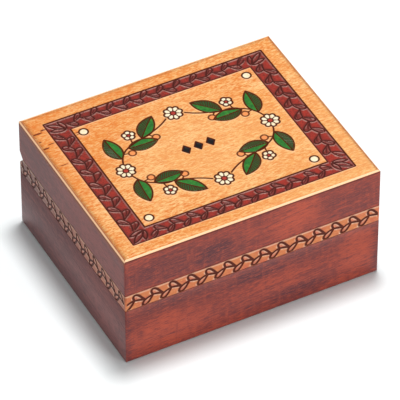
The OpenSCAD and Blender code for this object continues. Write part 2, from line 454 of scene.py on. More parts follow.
def border_carving(carving):
    """The border's two edge lines, its vine on four sides and the leaves in its corners."""
    for x, y in ((BORDER_OUT_X, BORDER_OUT_Y), (BORDER_IN_X, BORDER_IN_Y)):
        carving.groove(loop_through([(-x, -y), (x, -y), (x, y), (-x, y)]), 0.8, 0.3)
    mid_x = (BORDER_OUT_X + BORDER_IN_X) / 2
    mid_y = (BORDER_OUT_Y + BORDER_IN_Y) / 2
    runs = [
        ((-BORDER_IN_X, -mid_y), (BORDER_IN_X, -mid_y), BORDER_FRONT_W, 11),
        ((mid_x, -BORDER_IN_Y), (mid_x, BORDER_IN_Y), BORDER_SIDE_W, 8),
        ((BORDER_IN_X, mid_y), (-BORDER_IN_X, mid_y), BORDER_FRONT_W, 11),
        ((-mid_x, BORDER_IN_Y), (-mid_x, -BORDER_IN_Y), BORDER_SIDE_W, 8),
    ]
    for start, end, width, repeats in runs:
        pitch = np.linalg.norm(np.subtract(end, start)) / repeats
        vine(carving, start, end, width, pitch, 0.52 * pitch, 0.85, 0.32, 0.3, 0.22)
    for sx in (-1, 1):
        for sy in (-1, 1):
            inner = np.array([sx * (BORDER_IN_X + 1.2), sy * (BORDER_IN_Y + 1.2)])
            outer = np.array([sx * (BORDER_OUT_X - 1.6), sy * (BORDER_OUT_Y - 1.6)])
            reach = outer - inner
            for tip, wide in (
                (outer, 3.6),
                (inner + reach * (1.0, 0.28), 3.0),
                (inner + reach * (0.28, 1.0), 3.0),
            ):
                sides = almond(inner + (tip - inner) * 0.12, tip, wide)
                for side in sides:
                    carving.groove(side, 0.85, 0.32)
                carving.area(closed(sides), "relief", 0, 0.22)


def border_ground(points):
    """Height of the ground, which is lower in the border."""
    out = np.minimum(BORDER_OUT_X - np.abs(points[:, 0]), BORDER_OUT_Y - np.abs(points[:, 1]))
    within = np.minimum(BORDER_IN_X - np.abs(points[:, 0]), BORDER_IN_Y - np.abs(points[:, 1]))
    depth = np.minimum(out, -within)
    return -BORDER_GROUND * np.clip(depth / 0.45 + 0.5, 0, 1)


# The painted garland: four leafy sprigs between four rosettes, on a rhombus
GARLAND_X, GARLAND_Y = 54, 36.5
ROSETTE_R = 6.6
BLOOM_R = 4.6
LEAF_L, LEAF_W = 22.5, 11.0


def painted_leaf(carving, base, tip, width, dark_side):
    """A green leaf with a rib, and veins on its dark side."""
    sides = almond(base, tip, width, 0.5 * dark_side)
    for side in sides:
        carving.groove(side, 0.95, 0.36)
    base, tip = np.array(base, float), np.array(tip, float)
    axis = tip - base
    across = np.array([-axis[1], axis[0]]) / np.linalg.norm(axis)
    rib = bezier(base, base + axis * 0.3 + across * dark_side * 0.5,
                 base + axis * 0.6 + across * dark_side * 0.5, base + axis * 0.93)
    carving.groove(rib, 0.75, 0.26)
    edge = sides[0] if dark_side > 0 else sides[1]
    for t in np.arange(0.12, 0.84, 0.07):
        root = rib[round(t * (len(rib) - 1))]
        end = edge[round(min(1, t + 0.12) * (len(edge) - 1))]
        carving.groove(straight(root, root + (end - root) * 0.88), 0.4, 0.14, 0.75)
    carving.area(closed(sides), "leaf", -0.22, 0, 2.2)
    carving.area(closed([edge, rib]), "shade")


def rosette(carving, centre, radius, petals, turn=0.0):
    """A cream flower with round petals and a red eye."""
    centre = np.array(centre, float)
    eye = 0.3 * radius

    def outline(a):
        return radius * (0.72 + 0.28 * np.abs(np.cos(petals * (a - turn) / 2)) ** 0.6)

    carving.groove(polar(centre, outline), 1.1, 0.42)
    carving.area(polar(centre, outline), "cream", -0.2, 0, 1.5)
    for k in range(petals):
        a = turn + (k + 0.5) * 2 * math.pi / petals
        ray = np.array([math.cos(a), math.sin(a)])
        carving.groove(straight(centre + ray * eye * 1.1, centre + ray * radius * 0.62), 0.6, 0.26)
    carving.groove(circle(centre, eye), 0.75, 0.3)
    carving.area(circle(centre, eye), "red", -0.1, 0, 1.2)


def bud(carving, root, centre, radius=2.3):
    """A round bud on a stalk."""
    root, centre = np.array(root, float), np.array(centre, float)
    toward = (root - centre) / np.linalg.norm(root - centre)
    carving.groove(straight(root, centre + toward * radius), 0.8, 0.3)
    carving.groove(circle(centre, radius), 0.95, 0.34, 0.9)
    carving.area(circle(centre, radius), "bud", -0.15, 0, 1.2)


# The dark lozenges in the middle
LOZENGE_GAP = 9
LOZENGE_W, LOZENGE_H = 6.4, 8.8

# What grows on a sprig: a share of its stem, a side (1 is outside), a kind and a scale
SPRIG = [
    (0.07, 1, "leaf", 1.0), (0.17, -1, "bud", 1.1), (0.31, -1, "leaf", 0.95),
    (0.43, 1, "bloom", 1.0), (0.58, 1, "leaf", 1.0), (0.68, -1, "bud", 1.1),
]


def sprig(carving, flip):
    """One sprig of the garland, in the quarter of the panel that flip picks."""
    stem = bezier(
        flip * (GARLAND_X - 1.5, ROSETTE_R + 0.2), flip * (GARLAND_X - 8, 27),
        flip * (26, 19), flip * (ROSETTE_R + 0.4, GARLAND_Y - 3.0))
    carving.groove(stem, 1.0, 0.36)
    along = np.gradient(stem, axis=0)
    for share, side, kind, scale in SPRIG:
        n = round(share * (len(stem) - 1))
        outward = -side * flip[0] * flip[1]
        way = math.atan2(along[n][1], along[n][0]) + outward * (0.56 if kind == "leaf" else 1.1)
        ray = np.array([math.cos(way), math.sin(way)])
        if kind == "leaf":
            start = stem[n] + ray * 0.7
            painted_leaf(carving, start, start + ray * LEAF_L * scale, LEAF_W * scale, outward)
        elif kind == "bloom":
            carving.groove(straight(stem[n], stem[n] + ray * 5.0), 0.8, 0.3)
            rosette(carving, stem[n] + ray * (5.0 + BLOOM_R * 0.9), BLOOM_R * scale, 5, way)
        else:
            bud(carving, stem[n], stem[n] + ray * 6.0, 2.3 * scale)


def garland_carving(carving):
    """Four rosettes, and a sprig in each quarter between them."""
    for x, y in ((GARLAND_X, 0), (0, GARLAND_Y), (-GARLAND_X, 0), (0, -GARLAND_Y)):
        rosette(carving, (x, y), ROSETTE_R, 8)
    for sx in (-1, 1):
        for sy in (-1, 1):
            sprig(carving, np.array([sx, sy]))


def top_carving():
    """All that is carved in the top: the border, the corner rings, the garland, the lozenges."""
    carving = Carving()
    border_carving(carving)
    for sx in (-1, 1):
        for sy in (-1, 1):
            centre = (sx * (BORDER_IN_X - RING_INSET), sy * (BORDER_IN_Y - RING_INSET))
            carving.groove(circle(centre, RING_R), 0.95, 0.45)
            carving.area(circle(centre, RING_R), "cream", -0.2, 0, 1.6)
    garland_carving(carving)
    for x in (-LOZENGE_GAP, 0, LOZENGE_GAP):
        outline = loop_through([(x - LOZENGE_W / 2, 0), (x, -LOZENGE_H / 2),
                                (x + LOZENGE_W / 2, 0), (x, LOZENGE_H / 2)])
        carving.groove(outline, 0.6, 0.2)
        carving.area(outline, "ink", 0, -0.5, 2.0)
    return carving


def make_lid_panel():
    """The lid's top panel, with the border, the rings and the garland carved in it."""

    def fine(points):
        x, y = np.abs(points).T
        near = border_ground(points) < 0
        ornament = (x < BORDER_IN_X - 3) & (y < BORDER_IN_Y - 3)
        ring = x / (GARLAND_X + 9) + y / (GARLAND_Y + 9) < 1.25
        return near | (ornament & ring)

    piece = carved_copy(
        "lid_top_carved", "lid_top_panel",
        lambda centre, normal: centre.z > (BOX_H - 0.7) * MM,
        lambda co: (co.x / MM, co.y / MM),
        lambda p, h: (p[0] * MM, p[1] * MM, (BOX_H + h) * MM),
        top_carving(), TOP_PITCH, fine, border_ground)
    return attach(piece, "lid")


def make_band_walls():
    """The base's front, right and left walls by side, with the vine carved in their band."""
    mid_z = RIM_Z - BAND_H / 2 + BAND_LINE / 2
    pieces = {}
    for side, turn, length, out, pitch, first in (
        ("front", 0, BOX_W, BOX_D / 2, 13.44, 5.7),
        ("right", math.pi / 2, BOX_D, BOX_W / 2, 12.8, 6.4),
        ("left", -math.pi / 2, BOX_D, BOX_W / 2, 12.3, -0.8),
    ):
        along = Vector((math.cos(turn), math.sin(turn), 0))
        outward = Vector((math.sin(turn), -math.cos(turn), 0))

        def to_plan(co, along=along):
            return co.dot(along) / MM, co.z / MM - mid_z

        def to_space(p, h, along=along, outward=outward, out=out):
            return (along * p[0] + outward * (out + h)) * MM + Vector((0, 0, (p[1] + mid_z) * MM))

        def flat(centre, normal, outward=outward):
            return normal.dot(outward) > 0.999 and centre.z > (mid_z - BAND_H / 4) * MM

        carving = Carving()
        half = length / 2 - CORNER_R
        vine(carving, (-half, 0), (half, 0), BAND_H, pitch, first, 1.5, 0.5, 0.16)
        piece = carved_copy(f"base_{side}_carved", f"base_{side}_wall", flat, to_plan, to_space,
                            carving, BAND_PITCH, lambda points: np.ones(len(points), bool))
        pieces[side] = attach(piece, "base")
    return pieces


# Materials

class Field:
    """A number that varies over a surface: an output socket, with arithmetic."""

    def __init__(self, tree, socket):
        self.tree, self.socket = tree, socket

    def _math(self, kind, *others):
        node = self.tree.nodes.new("ShaderNodeMath")
        node.operation = kind
        for k, value in enumerate((self, *others)):
            if isinstance(value, Field):
                self.tree.links.new(value.socket, node.inputs[k])
            else:
                node.inputs[k].default_value = value
        return Field(self.tree, node.outputs[0])

    def __add__(self, other):
        return self._math("ADD", other)

    def __sub__(self, other):
        return self._math("SUBTRACT", other)

    def __mul__(self, other):
        return self._math("MULTIPLY", other)

    def __abs__(self):
        return self._math("ABSOLUTE")

    __radd__, __rmul__ = __add__, __mul__

    def __rsub__(self, other):
        return (self * -1) + other

    def max(self, other):
        return self._math("MAXIMUM", other)

    def ramp(self, low, high):
        """0 at low and 1 at high, with a smooth step between. low may be above high."""
        node = self.tree.nodes.new("ShaderNodeMapRange")
        node.interpolation_type = "SMOOTHSTEP"
        turned_round = low > high
        first, last = (high, low) if turned_round else (low, high)
        self.tree.links.new(self.socket, node.inputs["Value"])
        node.inputs["From Min"].default_value = first
        node.inputs["From Max"].default_value = last
        node.inputs["To Min"].default_value = 1.0 if turned_round else 0.0
        node.inputs["To Max"].default_value = 0.0 if turned_round else 1.0
        return Field(self.tree, node.outputs["Result"])


class Finish:
    """A material under construction: its tree, its shader and the place on the object."""

    def __init__(self, name):
        self.material = bpy.data.materials.new(name)
        self.material.use_nodes = True
        self.tree = self.material.node_tree
        self.shader = self.tree.nodes["Principled BSDF"]
        place = self.tree.nodes.new("ShaderNodeTexCoord")
        split = self.tree.nodes.new("ShaderNodeSeparateXYZ")
        self.tree.links.new(place.outputs["Object"], split.inputs[0])
        self.x, self.y, self.z = (Field(self.tree, split.outputs[k]) * (1 / MM) for k in range(3))

    def attribute(self, name):
        node = self.tree.nodes.new("ShaderNodeAttribute")
        node.attribute_name = name
        return Field(self.tree, node.outputs["Fac"])

    def noise(self, x, y, z, detail=3.0, roughness=0.5, distortion=0.0, seed=0.0):
        """Noise over these coordinates, from 0 to 1."""
        joint = self.tree.nodes.new("ShaderNodeCombineXYZ")
        for k, value in enumerate((x, y, z)):
            self.tree.links.new((value + seed).socket, joint.inputs[k])
        node = self.tree.nodes.new("ShaderNodeTexNoise")
        node.inputs["Scale"].default_value = 1.0
        node.inputs["Detail"].default_value = detail
        node.inputs["Roughness"].default_value = roughness
        node.inputs["Distortion"].default_value = distortion
        self.tree.links.new(joint.outputs[0], node.inputs["Vector"])
        return Field(self.tree, node.outputs[0])

    def mix(self, a, b, share, blend="MIX"):
        """Colour a turned to colour b by share. Colours are linear triples or sockets."""
        node = self.tree.nodes.new("ShaderNodeMix")
        node.data_type = "RGBA"
        node.blend_type = blend
        inputs = [s for s in node.inputs if s.type == "RGBA"]
        for socket, value in zip(inputs, (a, b)):
            if isinstance(value, bpy.types.NodeSocket):
                self.tree.links.new(value, socket)
            else:
                socket.default_value = (*value, 1)
        factor = next(s for s in node.inputs if s.type == "VALUE")
        if isinstance(share, Field):
            self.tree.links.new(share.socket, factor)
        else:
            factor.default_value = share
        return next(s for s in node.outputs if s.type == "RGBA")

    def layers(self, colour, *layers):
        """A colour with other colours laid over it in turn, each by its share."""
        for over, share in layers:
            colour = self.mix(colour, over, share)
        return colour

    def colour(self, socket):
        self.tree.links.new(socket, self.shader.inputs["Base Color"])

    def roughness(self, field):
        self.tree.links.new(field.socket, self.shader.inputs["Roughness"])

    def bump(self, height, reach):
        """Bump from a height field of 0 to 1 that stands for reach millimetres."""
        node = self.tree.nodes.new("ShaderNodeBump")
        node.inputs["Distance"].default_value = reach * MM
        node.inputs["Strength"].default_value = 1.0
        self.tree.links.new(height.socket, node.inputs["Height"])
        self.tree.links.new(node.outputs[0], self.shader.inputs["Normal"])

    def lacquer(self, weight, roughness, specular=0.12):
        """A clear coat over a wood that reflects little itself. weight is a number or a field."""
        self.shader.inputs["Specular IOR Level"].default_value = specular
        self.shader.inputs["Coat Roughness"].default_value = roughness
        if isinstance(weight, Field):
            self.tree.links.new(weight.socket, self.shader.inputs["Coat Weight"])
        else:
            self.shader.inputs["Coat Weight"].default_value = weight


def srgb(r, g, b):
    """Linear colour from display values of 0 to 255."""
    return tuple(c / 12.92 if c <= 0.04045 else ((c + 0.055) / 1.055) ** 2.4
                 for c in (r / 255, g / 255, b / 255))


HONEY = srgb(219, 146, 74)
HONEY_PALE = srgb(230, 186, 126)
HONEY_DEEP = srgb(206, 112, 44)
FLECK = srgb(150, 66, 20)
STREAK = srgb(104, 34, 12)
SCORCH = srgb(74, 20, 4)
# Painted highlight, for groove sides and the lid's top edges
HIGHLIGHT_PALE = srgb(246, 200, 158)
BORDER_RED = srgb(154, 46, 34)
BORDER_DEEP = srgb(106, 36, 29)
BORDER_LEAF = srgb(114, 40, 33)
# Painted highlight beside the border's grooves
BORDER_HIGHLIGHT = srgb(178, 134, 124)
BORDER_SCORCH = srgb(58, 28, 24)
LEAF = srgb(38, 108, 40)
LEAF_LIGHT = srgb(64, 132, 44)
LEAF_SHADE = srgb(28, 50, 32)
CREAM = srgb(230, 220, 190)
RED = srgb(160, 48, 38)
BUD = srgb(222, 138, 80)
INK = srgb(16, 12, 12)
PLAIN = srgb(214, 176, 124)
PLAIN_DEEP = srgb(186, 138, 86)
BRASS = srgb(214, 170, 84)

# Stains, as deep, middle and red: what faces front and back, and a greyer copy for the left and
# right sides, as painted sheen
STAIN = (srgb(78, 36, 42), srgb(126, 51, 42), srgb(172, 72, 48))
LID_SIDE_STAIN_AND_SHEEN = (srgb(88, 48, 50), srgb(120, 63, 60), srgb(148, 76, 70))
BASE_SIDE_STAIN_AND_SHEEN = (srgb(88, 52, 55), srgb(113, 68, 68), srgb(142, 82, 78))

# The wood of the band in reddish, middle and pale tones: at the front, and at the sides greyer as
# painted sheen, with the tone of their far ends. Then its leaves, and its painted highlight beside
# the grooves and on the rim
BAND = (srgb(184, 92, 62), srgb(192, 112, 66), srgb(212, 142, 92))
# Greyer band tones for the sides, as painted sheen
BAND_SIDE_AND_SHEEN = (srgb(164, 92, 72), srgb(180, 108, 80), srgb(192, 128, 98))
BAND_FAR = srgb(116, 72, 64)
BAND_LEAF = srgb(190, 108, 86)
BAND_HIGHLIGHT = srgb(240, 206, 178)

# The seam and the line at the lid's side edges
EDGE_BROWN = srgb(139, 80, 58)

# How strong the clear coat is on each kind of wall and on the top
LID_GLOSS, LID_SIDE_GLOSS = 0.28, 0.12
BASE_GLOSS, BASE_SIDE_GLOSS, BASE_BACK_GLOSS = 0.40, 0.44, 0.32
TOP_GLOSS = 0.38


def grain(finish, axis):
    """The coordinates of a board: along its fibres, which run in x or y, and across them."""
    x, y, z = finish.x, finish.y, finish.z
    return (x, y, z) if axis == "x" else (y, x, z)


def fibres(finish, axis, seed):
    """Fine fibre streaks and pores, from 0 to 1."""
    a, b, c = grain(finish, axis)
    streak = finish.noise(a * 0.05, b * 1.6, c * 1.6, 3, 0.6, seed=seed)
    pores = finish.noise(a * 0.22, b * 4.5, c * 4.5, 2, 0.6, seed=seed + 7)
    return streak, pores


def light_wood_colour(finish, axis, seed):
    """Honey coloured lime wood with a mottled figure, fine fibres and short dark flecks."""
    a, b, c = grain(finish, axis)
    streak, pores = fibres(finish, axis, seed)
    cloud = finish.noise(a * 0.02, b * 0.04, c * 0.04, 3, 0.55, 0.6, seed + 3)
    mottle = finish.noise(a * 0.09, b * 0.26, c * 0.26, 5, 0.68, 1.1, seed + 11)
    dash = finish.noise(a * 0.40, b * 2.2, c * 2.2, 2, 0.5, 0.3, seed + 19)
    fine = finish.noise(a * 0.30, b * 1.1, c * 1.1, 4, 0.7, 0.4, seed + 27)
    curl = finish.noise((a - b) * 0.05, (b + a * 0.6) * 0.30, c * 0.2, 4, 0.62, 0.6, seed + 33)
    colour = finish.layers(
        HONEY_DEEP,
        (HONEY, mottle.ramp(0.30, 0.52)),
        (HONEY_PALE, cloud.ramp(0.40, 0.70) * mottle.ramp(0.34, 0.62)),
        (HONEY_PALE, curl.ramp(0.54, 0.70) * 0.8),
        (HONEY_DEEP, curl.ramp(0.44, 0.28) * 0.7),
        (HONEY_PALE, fine.ramp(0.50, 0.62) * 0.85),
        (HONEY_DEEP, fine.ramp(0.50, 0.38) * 0.9),
        (HONEY_DEEP, dash.ramp(0.50, 0.64) * 0.7),
        (FLECK, dash.ramp(0.64, 0.78) * 0.5),
    )
    return colour, streak, pores


def clouds(finish, along, up, spots, seed):
    """Soft ragged spots on a wall. A spot is its middle, half length, half height, strength."""
    ragged = finish.noise(along * 0.05, up * 0.12, finish.y * 0.1, 3, 0.6, 0.5, seed) - 0.5
    shares = []
    for middle, height, half_length, half_height, strength in spots:
        u = (along - middle) * (1 / half_length)
        v = (up - height) * (1 / half_height)
        shares.append((u * u + v * v + ragged * 2.2).ramp(1.35, 0.0) * strength)
    return functools.reduce(Field.max, shares)


def stained_colour(finish, axis, stain, seed, dark=(), red=()):
    """Lime wood under a stain, uneven, and darker along some fibres. dark and red are spots."""
    deep, middle, warm = stain
    a, b, c = grain(finish, axis)
    tilt = a * 0.07
    streak, pores = fibres(finish, axis, seed)
    cloud = finish.noise(a * 0.014, b * 0.05, (c - tilt) * 0.05, 3, 0.55, 0.5, seed + 5)
    lines = finish.noise(a * 0.02, b * 0.45, (c - tilt) * 0.45, 4, 0.62, 0.5, seed + 23)
    fine = finish.noise(a * 0.16, b * 1.5, (c - tilt) * 1.5, 4, 0.72, 0.2, seed + 31)
    ripple = finish.noise(a * 0.34, b * 0.05, c * 0.05, 3, 0.65, 0.3, seed + 37)
    spots = [
        (tone, clouds(finish, a, c, places, tone_seed))
        for tone, places, tone_seed in ((deep, dark, seed + 41), (warm, red, seed + 43))
        if places
    ]
    colour = finish.layers(
        deep,
        (middle, cloud.ramp(0.20, 0.44)),
        (warm, cloud.ramp(0.46, 0.74) * 0.5),
        *spots,
        (deep, lines.ramp(0.52, 0.70) * 0.65),
        (warm, lines.ramp(0.47, 0.30) * 0.5),
        (warm, ripple.ramp(0.50, 0.72) * 0.35),
        (deep, ripple.ramp(0.46, 0.28) * 0.3),
        (deep, fine.ramp(0.50, 0.60) * 0.6),
        (warm, fine.ramp(0.49, 0.39) * 0.6),
    )
    return colour, streak, pores


def band_colour(finish, axis, tones, seed):
    """The light wood of the band in three tones: reddish, middle and pale."""
    reddish, middle, pale = tones
    a, b, c = grain(finish, axis)
    broad = finish.noise(a * 0.05, b * 0.1, c * 0.1, 3, 0.6, 0.4, seed)
    fine = finish.noise(a * 0.35, b * 1.2, c * 1.2, 4, 0.7, 0.3, seed + 5)
    return finish.layers(
        reddish,
        (middle, broad.ramp(0.34, 0.54)),
        (pale, fine.ramp(0.50, 0.70) * 0.7),
        (reddish, fine.ramp(0.46, 0.30) * 0.6),
    )


def plain_colour(finish, axis, seed):
    """The unstained pale wood of the inside."""
    a, b, c = grain(finish, axis)
    streak, pores = fibres(finish, axis, seed)
    cloud = finish.noise(a * 0.015, b * 0.06, c * 0.06, 4, 0.55, 0.6, seed + 9)
    colour = finish.layers(
        PLAIN_DEEP,
        (PLAIN, cloud.ramp(0.2, 0.6)),
        (PLAIN_DEEP, streak.ramp(0.5, 0.75) * 0.5),
        (FLECK, pores.ramp(0.66, 0.8) * 0.25),
    )
    return colour, streak, pores


# Uneven stain on the front, and darker strips at the base front's vertical corners: middle x,
# middle z, half length, half height and strength
LID_DARK_SPOTS = [(-26, 72, 26, 12, 0.95), (-62, 74, 42, 16, 0.6), (76, 72, 22, 14, 0.35)]
LID_RED_SPOTS = [(30, 78, 22, 16, 0.95), (-9, 74, 10, 14, 0.3)]
BASE_DARK_SPOTS = [
    (1, 39, 24, 7, 0.9), (42, 40, 28, 6, 0.6), (-50, 41, 40, 5, 0.5), (36, 9, 28, 7, 0.8),
    # Darker strips at the base front's two vertical corners
    (-93, 24, 3, 24, 0.7), (93, 24, 4, 24, 0.7),
]
BASE_RED_SPOTS = [(-62, 18, 32, 18, 0.7), (77, 28, 16, 20, 0.75), (10, 24, 30, 8, 0.35)]

# Spots of the same kind on the left, darker towards the back and redder towards the front, where
# the first is the middle y
LID_LEFT_DARK_SPOTS = [(50, 74, 30, 20, 0.5)]
LID_LEFT_RED_SPOTS = [(-45, 74, 40, 18, 0.5)]
BASE_LEFT_DARK_SPOTS = [(60, 20, 45, 40, 0.5)]
BASE_LEFT_RED_SPOTS = [(-50, 22, 45, 34, 0.6)]

# Dark and red spots of each wall that has them
NO_SPOTS = ((), ())
BASE_SPOTS = {
    "front": (BASE_DARK_SPOTS, BASE_RED_SPOTS),
    "left": (BASE_LEFT_DARK_SPOTS, BASE_LEFT_RED_SPOTS),
}
LID_SPOTS = {
    "front": (LID_DARK_SPOTS, LID_RED_SPOTS),
    "left": (LID_LEFT_DARK_SPOTS, LID_LEFT_RED_SPOTS),
}

# Dark mineral streaks in the top's wood: middle x, middle y, half length, half width
STREAKS = [
    (-89.6, 59.4, 3.4, 0.75), (-84.4, 61.4, 2.4, 0.75), (-90.8, 43.8, 2.4, 0.70),
    (-91.6, 51.3, 1.0, 0.45), (-85.5, 46.6, 2.6, 0.40), (-64.6, 48.6, 2.4, 0.45),
    (-64.6, 46.8, 2.4, 0.40), (-87.6, 24.1, 3.4, 0.35),
]


def streak_share(finish):
    """Where the top's mineral streaks are, with ragged edges."""
    ragged = finish.noise(finish.x * 0.8, finish.y * 2.5, finish.z, 3, 0.6)
    shares = []
    for x, y, half_length, half_width in STREAKS:
        along = (finish.x - x) * (1 / half_length)
        across = (finish.y - y) * (1 / half_width)
        away = along * along + across * across + (ragged - 0.5) * 1.4
        shares.append(away.ramp(1.5, 0.6))
    return functools.reduce(Field.max, shares)


def frame_share(finish, half_x, half_y, reach, soft):
    """A line of half width reach round the rectangle with these half sides."""
    away = (abs(finish.x) - half_x).max(abs(finish.y) - half_y)
    return abs(away).ramp(reach + soft, reach - soft)


def top_wood(finish, wood, painted_light, lip):
    """The top's bare wood, paler in the middle, with painted light paler to the front and right
    and deeper to the back and left, and with its streaks and a painted highlight beside the
    grooves.
    """
    x, y = finish.x, finish.y
    middle = (x * x * (1 / 75 ** 2) + y * y * (1 / 60 ** 2)).ramp(1.0, 0.1)
    wood = finish.layers(
        wood,
        (HONEY_PALE, middle * 0.25),
        # Painted light: paler to the front and right, deeper to the back and left
        (HONEY_PALE, painted_light.ramp(0, 1) * 0.3),
        (HONEY_DEEP, painted_light.ramp(0, -1) * 0.3),
        (STREAK, streak_share(finish) * 0.95),
    )
    seam = frame_share(finish, PANEL_W / 2, PANEL_D / 2, 0.45, 0.25)
    at_sides = (abs(x) - PANEL_W / 2).ramp(-0.6, -0.2)
    wood = finish.mix(wood, STREAK, seam * at_sides * 0.25)
    # Painted highlight beside the grooves
    return finish.mix(wood, HIGHLIGHT_PALE, lip * 0.55)


def border_stain(finish, crackle, painted_light, burn, lip):
    """The border's red stain, redder in the open ground away from the grooves and, as painted
    light, to the front and right, with a painted highlight beside the grooves.
    """
    patchy = finish.noise(finish.x * 0.05, finish.y * 0.05, finish.z, 3, 0.6, 0.5, 9)
    clear = finish.attribute("open")
    red_ground = clear * crackle.ramp(0.36, 0.56) * (patchy.ramp(0.30, 0.50) * 0.6 + 0.4)
    # Redder in the open ground; painted light makes it redder to the front and right and deeper to
    # the back and left
    stain = finish.mix(BORDER_DEEP, BORDER_RED, red_ground + painted_light * 0.25)
    leaf = finish.mix(BORDER_LEAF, BORDER_DEEP, crackle.ramp(0.60, 0.40) * 0.7)
    return finish.layers(
        stain,
        (leaf, finish.attribute("relief") * 0.9),
        (BORDER_SCORCH, burn * (crackle.ramp(0.30, 0.55) * 0.35 + 0.5)),
        # Painted highlight beside the grooves
        (BORDER_HIGHLIGHT, lip * crackle.ramp(0.32, 0.50)),
    )


def border_share(finish):
    """Where the border is. The panel's underside has none."""
    out = (abs(finish.x) - BORDER_OUT_X).max(abs(finish.y) - BORDER_OUT_Y)
    within = (abs(finish.x) - BORDER_IN_X).max(abs(finish.y) - BORDER_IN_Y)
    upper = finish.z.ramp(BOX_H - 3, BOX_H - 2)
    return out.ramp(0.15, -0.15) * within.ramp(-0.15, 0.15) * upper


def painted(finish, wood, burn):
    """The garland's paints over the wood, and its scorched lines."""
    brushed = finish.noise(finish.x * 0.5, finish.y * 0.5, finish.z, 3, 0.6)
    leaf = finish.mix(LEAF, LEAF_LIGHT, brushed.ramp(0.50, 0.75) * 0.8)
    leaf = finish.mix(leaf, LEAF_SHADE, finish.attribute("shade") * 0.65)
    leaf = finish.mix(leaf, LEAF_SHADE, brushed.ramp(0.50, 0.28) * 0.5)
    cream = finish.mix(CREAM, HONEY_PALE, brushed.ramp(0.45, 0.70) * 0.7)
    paints = {"leaf": leaf, "cream": cream, "red": RED, "bud": BUD, "ink": INK}
    art = wood
    for key, paint in paints.items():
        art = finish.mix(art, paint, finish.attribute(key))
    return finish.mix(art, SCORCH, burn * 0.97)


def top_material():
    """The carved top panel's material, with painted light that grows to the front and right."""
    finish = Finish("carved_top_wood")
    wood, streak, pores = light_wood_colour(finish, "x", 0.0)
    burn, lip = finish.attribute("burn"), finish.attribute("lip")
    # Painted light, growing to the front and right
    painted_light = finish.x * (0.6 / 95) + finish.y * (-0.5 / 78)
    crackle = finish.noise(finish.x * 0.7, finish.y * 0.7, finish.z, 5, 0.7, 1.0, 4)
    border = border_share(finish)
    art = painted(finish, top_wood(finish, wood, painted_light, lip), burn)
    finish.colour(finish.mix(art, border_stain(finish, crackle, painted_light, burn, lip), border))
    finish.roughness(streak * 0.1 + 0.36 + pores * 0.06 + burn * 0.2)
    finish.bump(streak * 0.4 + pores * 0.4 + crackle * border * 1.6, 0.05)
    finish.lacquer(burn * -TOP_GLOSS + TOP_GLOSS, 0.25, 0.05)
    return finish.material


def add_band(finish, colour, outside, axis, tones, seed):
    """Adds the light band under a base wall's rim, with painted highlights beside its grooves and
    along the rim's top. Returns the colour and where it is matt.
    """
    light = band_colour(finish, axis, tones, seed)
    if axis == "y":
        light = finish.mix(light, BAND_FAR, finish.y.ramp(-60, 90))
    light = finish.layers(
        light,
        (BAND_LEAF, finish.attribute("relief") * 0.6),
        # Painted highlights: beside the grooves, and along the top of the rim
        (BAND_HIGHLIGHT, finish.attribute("lip") * 0.9),
        (BAND_HIGHLIGHT, (finish.z - (RIM_Z - 1.6)).ramp(0, 0.8) * 0.35),
    )
    bottom = RIM_Z - BAND_H
    above = (finish.z - (bottom - BAND_LINE * 0.4)).ramp(-0.12, 0.12)
    colour = finish.mix(colour, light, above * outside)
    burn = finish.attribute("burn")
    colour = finish.mix(colour, SCORCH, burn * 0.97)
    line = abs(finish.z - bottom).ramp(0.62, 0.25) * outside
    colour = finish.mix(colour, SCORCH, line * 0.4)
    return colour, burn.max(line).max(finish.z.ramp(2, 50) * 0.6)


def add_lid_edges(finish, colour, outside, axis, seed):
    """Adds a lid wall's pale upper edge with a painted highlight along its outer edge, its lines,
    and painted shade along the lid's lower edge at the seam.
    """
    light, _, _ = light_wood_colour(finish, axis, seed)
    if axis == "y":
        edge = BOX_W / 2 - abs(finish.x)
        # Painted highlight along the outer top edge
        light = finish.mix(light, HIGHLIGHT_PALE, edge.ramp(1.3, 0.9) * 0.9)
        over = finish.z - (BOX_H - LID_END_STAIN_DROP)
        worn = over.ramp(-0.15, 0.15)
        colour = finish.mix(colour, light, worn)
        colour = finish.mix(colour, EDGE_BROWN, abs(edge - 1.35).ramp(0.65, 0.35) * worn * 0.7)
        line = over.ramp(0.15, -0.15) * over.ramp(-3.4, -2.2)
        colour = finish.mix(colour, EDGE_BROWN, line * outside * 0.9)
    else:
        edge = BOX_D / 2 - abs(finish.y)
        # Painted highlight along the outer top edge
        light = finish.mix(light, HIGHLIGHT_PALE, edge.ramp(2.5, 1.5) * 0.9)
        over = finish.z - (BOX_H - LID_STAIN_DROP)
        colour = finish.mix(colour, light, over.ramp(-0.15, 0.15))
        line = abs(over + 0.4).ramp(0.55, 0.25) * outside
        colour = finish.mix(colour, SCORCH, line * 0.7)
    # Painted shade along the lid's lower edge, at the seam with the base
    seam_shade = finish.z.ramp(LID_Z + 1.2, LID_Z + 0.4) * outside
    colour = finish.mix(colour, STREAK, seam_shade * 0.5)
    return colour, line.max(seam_shade)


